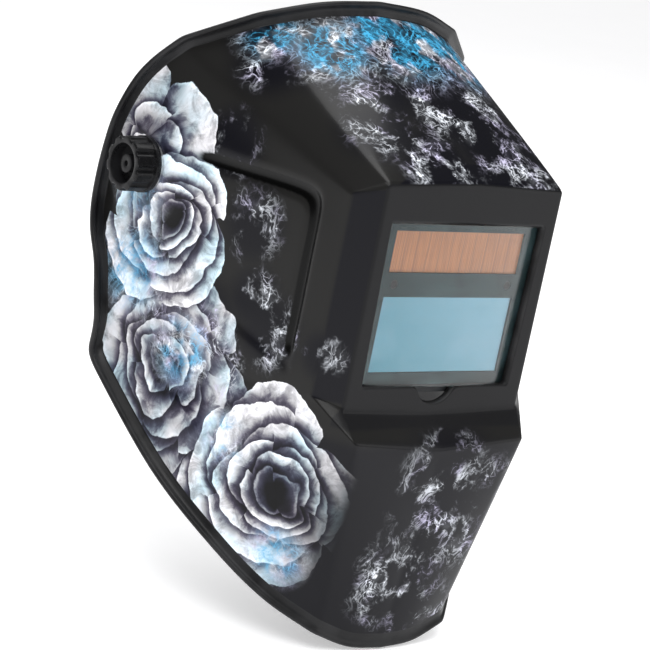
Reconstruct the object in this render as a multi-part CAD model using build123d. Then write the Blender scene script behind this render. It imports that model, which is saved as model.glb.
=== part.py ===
from build123d import *
import os
from math import cos, pi, radians, sin

# An auto-darkening welding helmet: a moulded shell with its filter cartridge, hung on a
# ratchet headgear by two tension knobs. Millimetres. +Y points to the back of the head and
# +Z up, and X = 0 is the middle plane. The origin is midway between the two head pivots.

# ---- shell: flat window panel, bevels, brow, chin and rim ---------------------
PANEL_Y = -144
PANEL_HALF = 62
PANEL_TOP_Z = 29.5
PANEL_CROWN_Z = 31.5
PANEL_BOTTOM_Z = -93
EDGE_SOFTENING = 2
BEVEL_HALF = 75
BEVEL_Y = -131
BEVEL_TOP_Z = 22
BEVEL_BOTTOM_Z = -88
SHELF_HALF = 60
SHELF_Y = -157
SHELF_Z = -107
SHELF_SAG = 4.5
CHIN_HALF = 45
CHIN_Y = -140
CHIN_Z = -213
CHIN_SAG = 10
CROWN_Y = -37
CROWN_Z = 98
BROW = Vector(67, -24, 85)
TEMPLE = Vector(97, -3, 66)
NOTCH = Vector(108, 12, -106)
CHEEK = Vector(99.7, -51, -152.5)

CAVITY_CENTRE = Vector(0, 0, -60)
CAVITY_SCALE = 0.974
OPENING_MID_Z = -40
FLANGE_WIDTH = 8
FLANGE_DEPTH = 3

# ---- window and cartridge ------------------------------------------------------
WINDOW_TOP_Z = 10.5
WINDOW_BOTTOM_Z = -80.2
WINDOW_TOP_HALF = 55
WINDOW_BOTTOM_HALF = 52.5
CARTRIDGE_W, CARTRIDGE_H = 110, 90
CARTRIDGE_Z = -35
CARTRIDGE_FRONT_Y = -139
CARTRIDGE_SPLIT_Y = -133.5
CARTRIDGE_BACK_Y = -130
CASE_WALL = 1.5
FILTER_W, FILTER_H, FILTER_Z = 92, 42, -52.5
SOLAR_W, SOLAR_H, SOLAR_Z = 92, 23, -6.8
SENSOR_X, SENSOR_Z, SENSOR_R = 40.5, -24.5, 2.6
DIAL_R, DIAL_DEPTH, SPINDLE_R = 6.5, 4, 2
DIAL_Z = -8
DIAL_XS = {"shade_dial": -42, "sensitivity_dial": -22, "delay_dial": -2}
SWITCH_X, SWITCH_Z = 15, -8
CAP_X, CAP_Z, CAP_R = 36, -9, 12
FRAME_W, FRAME_H, FRAME_BACK_Y = 120, 99, -127

# ---- pivots, from the head outward along X ---------------------------------------
BOLT_R = 4
RUNNING = 0.06
RAIL_X = 82
SLIDER_X = 84.2
PLATE_X = 98.4
WASHER_X = 100.4
CUP_FLOOR_X = 102.5
BOSS_X = 108
KNOB_X = 110
KNOB_END_X = 124.9
CUP_R, CUP_RIM, BOSS_R = 17, 6.5, 18.5
KNOB_R = 15.5

# ---- headgear: a stadium-shaped band, tilted so that the nape sits lower ----------
BAND_TILT = 12.5
BAND_R = 80
BAND_THICK = 2
BAND_H = 30
BAND_STRAIGHT = 38
REAR_CENTRE_Y = BAND_STRAIGHT / 2 + 1
FRONT_CENTRE_Y = REAR_CENTRE_Y - BAND_STRAIGHT
BAND_GAP_DEG = 38
STRAP_THICK = 1.6
STRAP_WIDTH = 20
STRAP_TOP_Z = 78
RACK_R = 82.4
RACK_THICK = 1.6
PINION_TEETH = 12
PITCH_R = 6
RACK_PITCH_DEG = 360 / PINION_TEETH * PITCH_R / (RACK_R + RACK_THICK / 2)

# ---- smaller pieces -------------------------------------------------------------
WALL_REAR = Vector(110, 30, 0)
RECESS_CORNERS = [(15, 20), (103, 18), (89, -60), (15, -80)]
RECESS_DEPTH, RECESS_FILLET = 1, 8
BUSH_R = 6.5
THUMB_R, THUMB_DEPTH = 14.1, 10
LENS_HALF, LENS_BOW_HALF, LENS_BOW, LENS_THICK = 57.5, 51.5, 4.5, 1
FILTER_FRONT_Y = -138.2
SCREW_INSET = 2.3
WIRE_R = 0.8
WIRE_Z = 42.2
BOARD_Y, BOARD_THICK = -136.3, 1.2
SWITCH_W, SWITCH_H, SWITCH_TRAVEL = 3.5, 5, 4
DIAL_FLUTES = 24
SENSOR_RECESS = 0.3
RAIL_LENGTH, RAIL_CHAMFER, SLIDER_LENGTH = 58, 3, 28
RIVET_Y, RIVET_R, RIVET_HEAD_R = 26, 1.5, 3
STUD_Y, STUD_Z, STUD_R = 6, 7, 2
PEG_X, PEG_R, PEG_HEAD_R = 9, 1.9, 3
WASHER_R = 14.5
STOP_HOLES, STOP_HOLE_R, STOP_CIRCLE_R = 5, 1.2, 10
FACE_RECESS_R, FACE_RECESS_DEPTH, HUB_R = 11, 7, 5
INSERT_R = 6.5
KNOB_FLUTES = 10
INSERT_LENGTH = 7
STRAP_OVERLAP = 22
PAD_THICK = 5
HOUSING_DEG = 21
RATCHET_BACK_Y = REAR_CENTRE_Y + BAND_R + 9
RATCHET_FLUTES = 14
RATCHET_KNOB_R, RATCHET_FACE_R = 23, 14
SCREW_TOP_Y = RATCHET_BACK_Y + 10.8


def save(name, shape):
    export_step(shape, f"parts/{name}.step")


def mirrored(shape):
    return mirror(shape, about=Plane.YZ)


def box(x0, x1, y0, y1, z0, z1):
    """A block between two opposite corners."""
    middle = ((x0 + x1) / 2, (y0 + y1) / 2, (z0 + z1) / 2)
    return Pos(*middle) * Box(x1 - x0, y1 - y0, z1 - z0)


def rod_x(radius, x0, x1, y=0, z=0):
    return Pos((x0 + x1) / 2, y, z) * Rot(0, 90, 0) * Cylinder(radius, x1 - x0)


def rod_y(radius, y0, y1, x=0, z=0):
    return Pos(x, (y0 + y1) / 2, z) * Rot(90, 0, 0) * Cylinder(radius, y1 - y0)


def group(pieces):
    """Several separate solids as one shape."""
    return Compound([solid for piece in pieces for solid in piece.solids()])


def tilted(shape):
    """Turn a piece from the band's own level frame into its tilted place."""
    return Rot(-BAND_TILT, 0, 0) * shape


# ---- the shell -------------------------------------------------------------------
def flange_tip(point):
    """The flange stands outward all round the head opening, square to the Y axis."""
    outward = Vector(point.X, 0, point.Z - OPENING_MID_Z).normalized()
    return point + outward * FLANGE_WIDTH


def lining(point):
    """The point on the inside of the wall that backs a point on the outside."""
    return CAVITY_CENTRE + (point - CAVITY_CENTRE) * CAVITY_SCALE


def behind(point):
    return point + Vector(0, FLANGE_DEPTH, 0)


def curve(points):
    """A line, an arc or a spline, by the number of points it goes through."""
    if len(points) == 2:
        return Edge.make_line(*points)
    if len(points) == 3:
        return Edge.make_three_point_arc(*points)
    return Edge.make_spline(points)


# The right half is five ruled sectors from the crown round to the chin. Each has an edge on
# the panel, an edge on the bevel or shelf, and its stretch of the rim.
PANEL_OUTLINE = [
    Vector(0, PANEL_Y, PANEL_CROWN_Z),
    Vector(PANEL_HALF, PANEL_Y, PANEL_TOP_Z),
    Vector(PANEL_HALF, PANEL_Y, PANEL_TOP_Z - EDGE_SOFTENING),
    Vector(PANEL_HALF, PANEL_Y, PANEL_BOTTOM_Z + EDGE_SOFTENING),
    Vector(PANEL_HALF, PANEL_Y, PANEL_BOTTOM_Z),
    Vector(0, PANEL_Y, PANEL_BOTTOM_Z - EDGE_SOFTENING),
]
BEVEL_OUTLINE = [
    Vector(0, PANEL_Y + EDGE_SOFTENING, PANEL_CROWN_Z + EDGE_SOFTENING),
    Vector(PANEL_HALF, PANEL_Y + EDGE_SOFTENING, PANEL_TOP_Z + EDGE_SOFTENING),
    Vector(BEVEL_HALF, BEVEL_Y, BEVEL_TOP_Z),
    Vector(BEVEL_HALF, BEVEL_Y, BEVEL_BOTTOM_Z),
    Vector(SHELF_HALF, SHELF_Y, SHELF_Z),
    Vector(0, SHELF_Y - 1, SHELF_Z - SHELF_SAG),
]
RIM_STRETCHES = [
    [Vector(0, CROWN_Y, CROWN_Z), Vector(35, CROWN_Y + 3, 94.6), BROW],
    [BROW, TEMPLE],
    [
        TEMPLE,
        Vector(102, 13, 49.5),
        Vector(106.5, 21, 34),
        Vector(109.3, 28, 10),
        Vector(110, 30, -22),
        Vector(110, 27, -42),
        Vector(110, 17.5, -59),
        Vector(109.5, 13, -76),
        Vector(108.7, 10, -90),
        NOTCH,
    ],
    [
        NOTCH,
        Vector(107, 3, -115),
        CHEEK,
        Vector(82, -90, -181.5),
        Vector(65, -118, -200.5),
        Vector(CHIN_HALF, CHIN_Y, CHIN_Z),
    ],
    [
        Vector(CHIN_HALF, CHIN_Y, CHIN_Z),
        Vector(CHIN_HALF / 2, CHIN_Y - 3, CHIN_Z - CHIN_SAG * 0.8),
        Vector(0, CHIN_Y - 4, CHIN_Z - CHIN_SAG),
    ],
]


def half_shell_faces():
    faces = []
    for i, rim in enumerate(RIM_STRETCHES):
        panel_edge = PANEL_OUTLINE[i : i + 2]
        bevel_edge = BEVEL_OUTLINE[i : i + 2]
        rows = [
            panel_edge,
            bevel_edge,
            rim,
            [flange_tip(p) for p in rim],
            [behind(flange_tip(p)) for p in rim],
            [behind(lining(p)) for p in rim],
            [lining(p) for p in bevel_edge],
            [lining(p) for p in panel_edge],
        ]
        curves = [curve(row) for row in rows]
        faces += [Face.make_surface_from_curves(a, b) for a, b in zip(curves, curves[1:])]
    return faces


def panel_faces():
    """The flat panel's front and back, closing the shell before its window is cut."""
    left = [Vector(-p.X, p.Y, p.Z) for p in reversed(PANEL_OUTLINE[1:-1])]
    front = PANEL_OUTLINE + left
    back = [lining(p) for p in front]
    return [Face(Wire.make_polygon(loop)) for loop in (front, back)]


def side_recess():
    """A shallow tapered panel let into the cheek wall."""
    corner = Vector(BEVEL_HALF, BEVEL_Y, 0)
    along_wall = (WALL_REAR - corner).normalized()
    outward = Vector(along_wall.Y, -along_wall.X, 0)
    wall = Plane(origin=corner, x_dir=along_wall, z_dir=outward)
    outline = make_face(Polyline(*RECESS_CORNERS, close=True))
    outline = fillet(outline.vertices(), RECESS_FILLET)
    return extrude(wall * outline, RECESS_DEPTH, both=True)


def pivot_cups():
    """Dished bosses that seat the tension knobs outside and the washers inside."""
    cup = rod_x(BOSS_R, CUP_FLOOR_X - CUP_RIM, BOSS_X)
    pocket = rod_x(CUP_R, CUP_FLOOR_X - 14, CUP_FLOOR_X)
    hole = rod_x(BUSH_R, CUP_FLOOR_X - 1, BOSS_X + 1)
    return cup, pocket + hole


def window_prism():
    low, high = WINDOW_BOTTOM_Z, WINDOW_TOP_Z
    outline = make_face(
        Plane.XZ
        * Polyline(
            (-WINDOW_BOTTOM_HALF, low),
            (WINDOW_BOTTOM_HALF, low),
            (WINDOW_TOP_HALF, high),
            (-WINDOW_TOP_HALF, high),
            close=True,
        )
    )
    opening = Pos(0, PANEL_Y - 5, 0) * extrude(outline, -12)
    notch_z = low + THUMB_R - THUMB_DEPTH
    return opening + rod_y(THUMB_R, PANEL_Y - 5, PANEL_Y + 7, z=notch_z)


def make_shell():
    half = half_shell_faces()
    solid = Solid(Shell(half + [mirrored(f) for f in half] + panel_faces()))
    cup, cup_cut = pivot_cups()
    recess = side_recess()
    body = solid + cup + mirrored(cup)
    body = body - cup_cut - mirrored(cup_cut) - recess - mirrored(recess)
    return body - window_prism() - frame_screws()


# ---- window, cartridge frame and cartridge ----------------------------------------
def make_cover_lens():
    """A thin lens, bowed forward through the window and clamped by its two flat edges."""
    back = CARTRIDGE_FRONT_Y - 0.2
    flat, bow = LENS_HALF, LENS_BOW_HALF
    path = Line((-flat, back), (-bow, back))
    path += ThreePointArc((-bow, back), (0, back - LENS_BOW), (bow, back))
    path += Line((bow, back), (flat, back))
    front = Pos(0, -LENS_THICK, 0) * path
    ends = Line((-flat, back), (-flat, back - LENS_THICK))
    ends += Line((flat, back), (flat, back - LENS_THICK))
    outline = make_face(path.edges() + front.edges() + ends.edges())
    height = WINDOW_TOP_Z - WINDOW_BOTTOM_Z - 1
    lens = extrude(outline, height / 2, both=True)
    lens = Pos(0, 0, (WINDOW_TOP_Z + WINDOW_BOTTOM_Z) / 2) * lens
    return lens - frame_screws()


def frame_screws():
    """Four small screws that hold the cartridge frame to the back of the window panel."""
    screws = []
    for x in (-1, 1):
        for z in (-1, 1):
            place = dict(
                x=x * (FRAME_W / 2 - SCREW_INSET),
                z=CARTRIDGE_Z + z * (FRAME_H / 2 - SCREW_INSET),
            )
            shank = rod_y(1, CARTRIDGE_FRONT_Y - 3, FRAME_BACK_Y, **place)
            head = rod_y(2, FRAME_BACK_Y, FRAME_BACK_Y + 1.2, **place)
            drive = rod_y(0.7, FRAME_BACK_Y + 0.5, FRAME_BACK_Y + 2, **place)
            screws.append(shank + head - drive)
    return group(screws)


def cartridge_block(clearance, y0, y1):
    w, h = CARTRIDGE_W / 2 + clearance, CARTRIDGE_H / 2 + clearance
    return box(-w, w, y0, y1, CARTRIDGE_Z - h, CARTRIDGE_Z + h)


def make_cartridge_frame():
    w, h = FRAME_W / 2, FRAME_H / 2
    front = CARTRIDGE_FRONT_Y - 0.1
    ring = box(-w, w, front, FRAME_BACK_Y, CARTRIDGE_Z - h, CARTRIDGE_Z + h)
    ring -= cartridge_block(0.3, front - 1, FRAME_BACK_Y + 1)
    return ring - frame_screws() - make_retaining_wires()


def make_retaining_wires():
    """Two spring wires across the back of the cartridge, sprung into the frame's sides."""
    wires = [
        rod_x(WIRE_R, -FRAME_W / 2 + 1, FRAME_W / 2 - 1, y=CARTRIDGE_BACK_Y + WIRE_R, z=z)
        for z in (CARTRIDGE_Z - WIRE_Z, CARTRIDGE_Z + WIRE_Z)
    ]
    return group(wires)


def strip(width, height, z, y0, y1):
    return box(-width / 2, width / 2, y0, y1, z - height / 2, z + height / 2)


def sensor_rods(radius, y0, y1):
    rods = [rod_y(radius, y0, y1, x=x, z=SENSOR_Z) for x in (-SENSOR_X, SENSOR_X)]
    return group(rods)


def make_cartridge_front():
    front, split = CARTRIDGE_FRONT_Y, CARTRIDGE_SPLIT_Y
    case = cartridge_block(0, front, split) - cartridge_block(-CASE_WALL, front + CASE_WALL, split)
    case -= strip(FILTER_W, FILTER_H, FILTER_Z, front - 1, split)
    case -= strip(SOLAR_W, SOLAR_H, SOLAR_Z, front - 1, split)
    return case - sensor_rods(SENSOR_R, front - 1, split)


def make_cartridge_back():
    split, back = CARTRIDGE_SPLIT_Y, CARTRIDGE_BACK_Y
    case = cartridge_block(0, split, back) - cartridge_block(-CASE_WALL, split, back - CASE_WALL)
    case -= strip(FILTER_W, FILTER_H, FILTER_Z, split, back + 1)
    for x in DIAL_XS.values():
        case -= rod_y(SPINDLE_R + RUNNING, split, back + 1, x=x, z=DIAL_Z)
    slot = SWITCH_TRAVEL + SWITCH_W + 0.4
    case -= box(
        SWITCH_X - SWITCH_W / 2 - 0.2,
        SWITCH_X - SWITCH_W / 2 - 0.2 + slot,
        split,
        back + 1,
        SWITCH_Z - SWITCH_H / 2 - 0.1,
        SWITCH_Z + SWITCH_H / 2 + 0.1,
    )
    return case - rod_y(CAP_R - 1 + RUNNING, split, back + 1, x=CAP_X, z=CAP_Z)


def make_filter_glass():
    glass = strip(FILTER_W - 0.4, FILTER_H - 0.4, FILTER_Z, FILTER_FRONT_Y, CARTRIDGE_BACK_Y - 0.5)
    seat = CARTRIDGE_FRONT_Y + CASE_WALL
    return glass + strip(FILTER_W + 4, FILTER_H + 3, FILTER_Z, seat, CARTRIDGE_BACK_Y - CASE_WALL)


def make_solar_cell():
    seat = CARTRIDGE_FRONT_Y + CASE_WALL
    return strip(SOLAR_W + 3, SOLAR_H + 2, SOLAR_Z, seat, seat + 1)


def make_circuit_board():
    """The board behind the solar cell, with a can for each dial and one for the switch."""
    board = strip(CARTRIDGE_W - 8, 36, -10, BOARD_Y, BOARD_Y + BOARD_THICK)
    for x in (*DIAL_XS.values(), SWITCH_X + SWITCH_TRAVEL / 2):
        board += box(x - 4, x + 4, BOARD_Y + 1, BOARD_Y + 2.4, DIAL_Z - 4, DIAL_Z + 4)
    return board


def make_dial(x):
    """A fluted finger dial with a pointer rib, on a spindle through the case."""
    back = CARTRIDGE_BACK_Y
    dial = rod_y(DIAL_R, back + 0.2, back + DIAL_DEPTH, x=x, z=DIAL_Z)
    for k in range(DIAL_FLUTES):
        turn = 2 * pi * k / DIAL_FLUTES
        flute = dict(x=x + DIAL_R * sin(turn), z=DIAL_Z + DIAL_R * cos(turn))
        dial -= rod_y(0.5, back - 1, back + DIAL_DEPTH + 1, **flute)
    top = back + DIAL_DEPTH
    dial += box(x - 0.6, x + 0.6, top - 0.5, top + 0.8, DIAL_Z, DIAL_Z + DIAL_R - 1)
    return dial + rod_y(SPINDLE_R, BOARD_Y + 2.6, back + 0.5, x=x, z=DIAL_Z)


def make_mode_switch():
    back = CARTRIDGE_BACK_Y
    x0, x1 = SWITCH_X - SWITCH_W / 2, SWITCH_X + SWITCH_W / 2
    z0, z1 = SWITCH_Z - SWITCH_H / 2, SWITCH_Z + SWITCH_H / 2
    slider = box(x0, x1, back - 3, back + 1.5, z0, z1)
    for k in range(3):
        x = x0 + 0.5 + 1.25 * k
        slider -= box(x, x + 0.5, back + 1, back + 2, z0 - 1, z1 + 1)
    return slider


def make_battery_cap():
    back = CARTRIDGE_BACK_Y
    cap = rod_y(CAP_R - 1, back - CASE_WALL, back + 0.1, x=CAP_X, z=CAP_Z)
    cap += rod_y(CAP_R, back + 0.1, back + 1.6, x=CAP_X, z=CAP_Z)
    return cap - box(CAP_X - 8, CAP_X + 8, back + 0.8, back + 2, CAP_Z - 1, CAP_Z + 1)


def make_coin_cell():
    back = CARTRIDGE_BACK_Y - CASE_WALL - 0.2
    cell = rod_y(9.8, back - 2.4, back - 0.6, x=CAP_X, z=CAP_Z)
    return cell + rod_y(8.8, back - 0.6, back, x=CAP_X, z=CAP_Z)


def make_inner_lens():
    back = CARTRIDGE_BACK_Y
    return strip(FILTER_W + 8, FILTER_H - 2, FILTER_Z + 1, back, back + 1)


# ---- pivots: right-hand pieces, mirrored for the left ------------------------------
def make_rail():
    """A channel on the headband's side in which the slider block moves fore and aft."""
    end = RAIL_LENGTH / 2
    rail = box(RAIL_X, RAIL_X + 2, -end, end, -12, 12)
    for side in (-1, 1):
        z0, z1 = sorted((side * 9.5, side * 12))
        rail += box(RAIL_X + 2, RAIL_X + 7, -end, end, z0, z1)
        z0, z1 = sorted((side * 6.5, side * 12))
        rail += box(RAIL_X + 5.4, RAIL_X + 7, -end, end, z0, z1)
        y0, y1 = sorted((side * (end - 6), side * end))
        rail += box(RAIL_X + 1, RAIL_X + 5.5, y0, y1, -10, 10)
    outer, front, cut = RAIL_X + 7, -end, RAIL_CHAMFER
    slope = Polyline((outer - cut, front), (outer, front + cut), (outer, front), close=True)
    return rail - extrude(make_face(slope), 12, both=True) - rail_rivets()


def rail_rivets():
    rivets = []
    for y in (-RIVET_Y, RIVET_Y):
        shank = rod_x(RIVET_R, RAIL_X - 4, RAIL_X + 5.5, y=y)
        rivets.append(shank + rod_x(RIVET_HEAD_R, RAIL_X - 4.4, RAIL_X - 3.4, y=y))
    return group(rivets)


def make_slider():
    slider = box(SLIDER_X, SLIDER_X + 3, -SLIDER_LENGTH / 2, SLIDER_LENGTH / 2, -9.3, 9.3)
    slider += box(SLIDER_X + 2, SLIDER_X + 6.8, -SLIDER_LENGTH / 2, SLIDER_LENGTH / 2, -6.2, 6.2)
    slider += rod_x(12, SLIDER_X + 6.8, PLATE_X)
    return slider - make_pivot_bolt()


def make_pivot_bolt():
    """A square-headed bolt trapped in the slider, with a plain shank out to the knob."""
    head = box(SLIDER_X, SLIDER_X + 3.4, -4.5, 4.5, -4.5, 4.5)
    return head + rod_x(BOLT_R, SLIDER_X + 3.4, KNOB_END_X - 6.5)


def ring_x(outer, inner, x0, x1):
    return rod_x(outer, x0, x1) - rod_x(inner, x0 - 1, x1 + 1)


def make_tilt_plate():
    """The stop plate that sets how far down the shell hangs, with its finger tab."""
    plate = rod_x(14, PLATE_X, WASHER_X) + box(PLATE_X, WASHER_X, 0, 16, -3, 3)
    for k in range(STOP_HOLES):
        turn = radians(110 + 20 * k)
        hole = dict(y=STOP_CIRCLE_R * cos(turn), z=STOP_CIRCLE_R * sin(turn))
        plate -= rod_x(STOP_HOLE_R, PLATE_X - 1, WASHER_X + 1, **hole)
    return plate - rod_x(BOLT_R, PLATE_X - 1, WASHER_X + 1)


def make_friction_washer():
    return ring_x(WASHER_R, BOLT_R, WASHER_X, CUP_FLOOR_X - 0.2)


def make_pivot_bush():
    return ring_x(BUSH_R, BOLT_R + RUNNING, CUP_FLOOR_X, BOSS_X)


def make_outer_washer():
    return ring_x(WASHER_R, BOLT_R, BOSS_X + 0.1, KNOB_X - 0.1)


def make_tension_knob():
    """A fluted cup knob: a round skirt, a scalloped grip and a hub sunk in its open face."""
    knob = rod_x(KNOB_R, KNOB_X, KNOB_X + 3)
    knob += rod_x(KNOB_R - 0.5, KNOB_X + 3, KNOB_END_X)
    for k in range(KNOB_FLUTES):
        turn = 2 * pi * k / KNOB_FLUTES
        reach = KNOB_R + 0.8
        flute = dict(y=reach * cos(turn), z=reach * sin(turn))
        knob -= rod_x(2.8, KNOB_X + 3, KNOB_END_X + 1, **flute)
    knob -= rod_x(FACE_RECESS_R, KNOB_END_X - FACE_RECESS_DEPTH, KNOB_END_X + 1)
    knob += rod_x(HUB_R, KNOB_END_X - FACE_RECESS_DEPTH, KNOB_END_X - 2.5)
    knob = chamfer(knob.faces().filter_by(Axis.X).sort_by(Axis.X)[-1].outer_wire().edges(), 0.6)
    knob -= rod_x(1.6, KNOB_END_X - 4, KNOB_END_X)
    knob -= rod_x(BOLT_R + RUNNING, KNOB_X - 1, KNOB_END_X - 6.3)
    return knob - knob_insert_body()


def knob_insert_body():
    hexagon = extrude(Plane.YZ * RegularPolygon(INSERT_R, 6), INSERT_LENGTH)
    return Pos(KNOB_X, 0, 0) * hexagon


def make_knob_insert():
    return knob_insert_body() - rod_x(BOLT_R + RUNNING, KNOB_X - 1, KNOB_X + 10)


# ---- headgear, in the band's own level frame -----------------------------------------
def stadium(radius, height):
    """A solid the shape of the head opening, with round ends in front and behind."""
    outline = Rot(0, 0, 90) * SlotCenterToCenter(BAND_STRAIGHT, 2 * radius)
    return Pos(0, 1, 0) * extrude(outline, height / 2, both=True)


def wedge(centre_y, start_deg, end_deg, height, reach=140):
    """A sector about a vertical axis. 0 degrees is the back of the head, + is to the right."""
    corners = [(0, centre_y)]
    steps = 6
    for k in range(steps + 1):
        turn = radians(start_deg + (end_deg - start_deg) * k / steps)
        corners.append((reach * sin(turn), centre_y + reach * cos(turn)))
    return extrude(make_face(Polyline(*corners, close=True)), height / 2, both=True)


def arc_strip(radius, thickness, start_deg, end_deg, z0, z1, centre_y=REAR_CENTRE_Y):
    """A curved strip about a vertical axis, between two heights."""
    tall = 2 * max(abs(z0), abs(z1)) + 2
    ring = Cylinder(radius + thickness, z1 - z0) - Cylinder(radius, z1 - z0 + 2)
    ring = Pos(0, centre_y, (z0 + z1) / 2) * ring
    return ring & wedge(centre_y, start_deg, end_deg, tall)


def strap_studs():
    """Studs that join the crown straps to the inside of the band."""
    studs = []
    for side in (-1, 1):
        for y in (-STUD_Y, STUD_Y):
            x0, x1 = sorted((side * (BAND_R - STRAP_THICK - 1), side * (BAND_R + BAND_THICK)))
            studs.append(rod_x(STUD_R, x0, x1, y=y, z=STUD_Z))
    return group(studs)


def make_headband():
    band = stadium(BAND_R + BAND_THICK, BAND_H) - stadium(BAND_R, BAND_H + 2)
    band -= wedge(REAR_CENTRE_Y, -BAND_GAP_DEG, BAND_GAP_DEG, BAND_H + 2)
    for side in (-1, 1):
        for k in range(4):
            turn = side * (60 + 9 * k)
            band -= arc_strip(BAND_R - 1, BAND_THICK + 2, turn - 2, turn + 2, -6, 6)
    band -= strap_studs()
    rivets = Rot(BAND_TILT, 0, 0) * rail_rivets()
    return tilted(band - rivets - mirrored(rivets))


def strap_shape(top_z):
    """Half of a crown strap: up the side of the head and a little past its middle."""
    side = BAND_R - STRAP_THICK / 2 - 0.1
    spring_z = 12
    rise = top_z - spring_z
    ring = Ellipse(side + STRAP_THICK / 2, rise + STRAP_THICK / 2)
    ring -= Ellipse(side - STRAP_THICK / 2, rise - STRAP_THICK / 2)
    keep = Pos((BAND_R - STRAP_OVERLAP) / 2, top_z / 2 + 1) * Rectangle(
        BAND_R + STRAP_OVERLAP, top_z + 2
    )
    arch = Pos(0, spring_z) * (ring & keep)
    tail = Pos(side, 1) * Rectangle(STRAP_THICK, 2 * spring_z - 1)
    return extrude(Plane.XZ * (arch + tail), STRAP_WIDTH / 2, both=True)


def peg_rods(radius, z0, z1):
    rods = [Pos(x, 0, (z0 + z1) / 2) * Cylinder(radius, z1 - z0) for x in (-PEG_X, PEG_X)]
    return group(rods)


def make_right_strap():
    """The lower strap, whose two mushroom pegs snap up through the other strap's holes."""
    pegs = peg_rods(PEG_R, STRAP_TOP_Z - 1.5, STRAP_TOP_Z + 3.6)
    heads = peg_rods(PEG_HEAD_R, STRAP_TOP_Z + 2.6, STRAP_TOP_Z + 3.6)
    return tilted(strap_shape(STRAP_TOP_Z) + pegs + heads - strap_studs())


def make_left_strap():
    strap = mirrored(strap_shape(STRAP_TOP_Z + STRAP_THICK + 0.1))
    for k in range(-4, 2):
        hole = Pos(PEG_X * (2 * k + 1), 0, STRAP_TOP_Z + 2) * Cylinder(PEG_R + 0.1, 2 * STRAP_TOP_Z / 3)
        strap -= hole & box(-60, 60, -9, 9, 30, 100)
    return tilted(strap - strap_studs())


def make_sweatband():
    """The soft brow pad inside the front of the band."""
    inner = BAND_R - PAD_THICK
    return tilted(arc_strip(inner, PAD_THICK - 0.2, 118, 242, -17, 17, centre_y=FRONT_CENTRE_Y))


def make_nape_pad():
    inner = BAND_R - 1 - PAD_THICK
    return tilted(arc_strip(inner, PAD_THICK - 0.4, -26, 26, -19, 19))


def rack_teeth(z_root, z_tip):
    """Teeth along one edge of a rack, spaced so that a gap stands over the pinion's axis."""
    teeth = []
    for k in range(-7, 8):
        middle = (k + 0.5) * RACK_PITCH_DEG
        low, high = sorted((z_root, z_tip))
        teeth.append(arc_strip(RACK_R, RACK_THICK, middle - 0.42, middle + 0.42, low, high))
    return teeth


def make_left_rack():
    """The toothed strip from the left side, passing above the pinion."""
    rack = arc_strip(RACK_R, RACK_THICK, -62, -30, -10, 13)
    rack += arc_strip(RACK_R, RACK_THICK, -31, 17, 7.4, 13)
    for tooth in rack_teeth(7.6, 5.3):
        rack += tooth
    return rack


def make_pinion():
    """A toothed wheel on a short shaft that the ratchet knob turns."""
    y0, y1 = REAR_CENTRE_Y + RACK_R, REAR_CENTRE_Y + RACK_R + RACK_THICK
    pinion = rod_y(PITCH_R - 1.4, y0, y1) + rod_y(4, y0, RATCHET_BACK_Y + 6)
    for k in range(PINION_TEETH):
        tooth = box(-0.45, 0.45, y0, y1, PITCH_R - 2, PITCH_R + 0.7)
        pinion += Rot(0, 360 * k / PINION_TEETH, 0) * tooth
    return pinion


def make_ratchet_inner():
    """The housing half nearer the head, with the floor and roof of the rack channel."""
    half = arc_strip(BAND_R, RACK_R - BAND_R - 0.2, -HOUSING_DEG, HOUSING_DEG, -18, 18)
    for side in (-1, 1):
        z0, z1 = sorted((side * 14, side * 18))
        half += arc_strip(BAND_R, 4.6, -HOUSING_DEG, HOUSING_DEG, z0, z1)
    return half


def make_ratchet_outer():
    """The outer housing half, a curved cover with a raised round seat for the knob."""
    cover = arc_strip(BAND_R + 4.6, 2.4, -HOUSING_DEG, HOUSING_DEG, -18, 18)
    seat = rod_y(15, REAR_CENTRE_Y + BAND_R + 5, RATCHET_BACK_Y)
    cover += seat - Pos(0, REAR_CENTRE_Y, 0) * Cylinder(BAND_R + 4.6, 60)
    return cover - rod_y(4 + RUNNING, 0, RATCHET_BACK_Y + 1)


def make_ratchet_knob():
    y0 = RATCHET_BACK_Y + 0.3
    knob = rod_y(RATCHET_KNOB_R, y0, y0 + 12)
    for k in range(RATCHET_FLUTES):
        turn = 2 * pi * k / RATCHET_FLUTES
        reach = RATCHET_KNOB_R + 1.5
        flute = dict(x=reach * sin(turn), z=reach * cos(turn))
        knob -= rod_y(3.4, y0 + 2, y0 + 13, **flute)
    knob -= rod_y(RATCHET_FACE_R, y0 + 10.5, y0 + 13)
    knob -= rod_y(4, y0 - 1, RATCHET_BACK_Y + 6)
    return knob - ratchet_screw_blank()


def ratchet_screw_blank():
    return rod_y(1.4, RATCHET_BACK_Y - 4, SCREW_TOP_Y - 1) + rod_y(3.2, SCREW_TOP_Y - 2, SCREW_TOP_Y)


def make_ratchet_screw():
    slot = box(-2.4, 2.4, SCREW_TOP_Y - 0.7, SCREW_TOP_Y + 1, -0.4, 0.4)
    return ratchet_screw_blank() - slot


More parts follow.
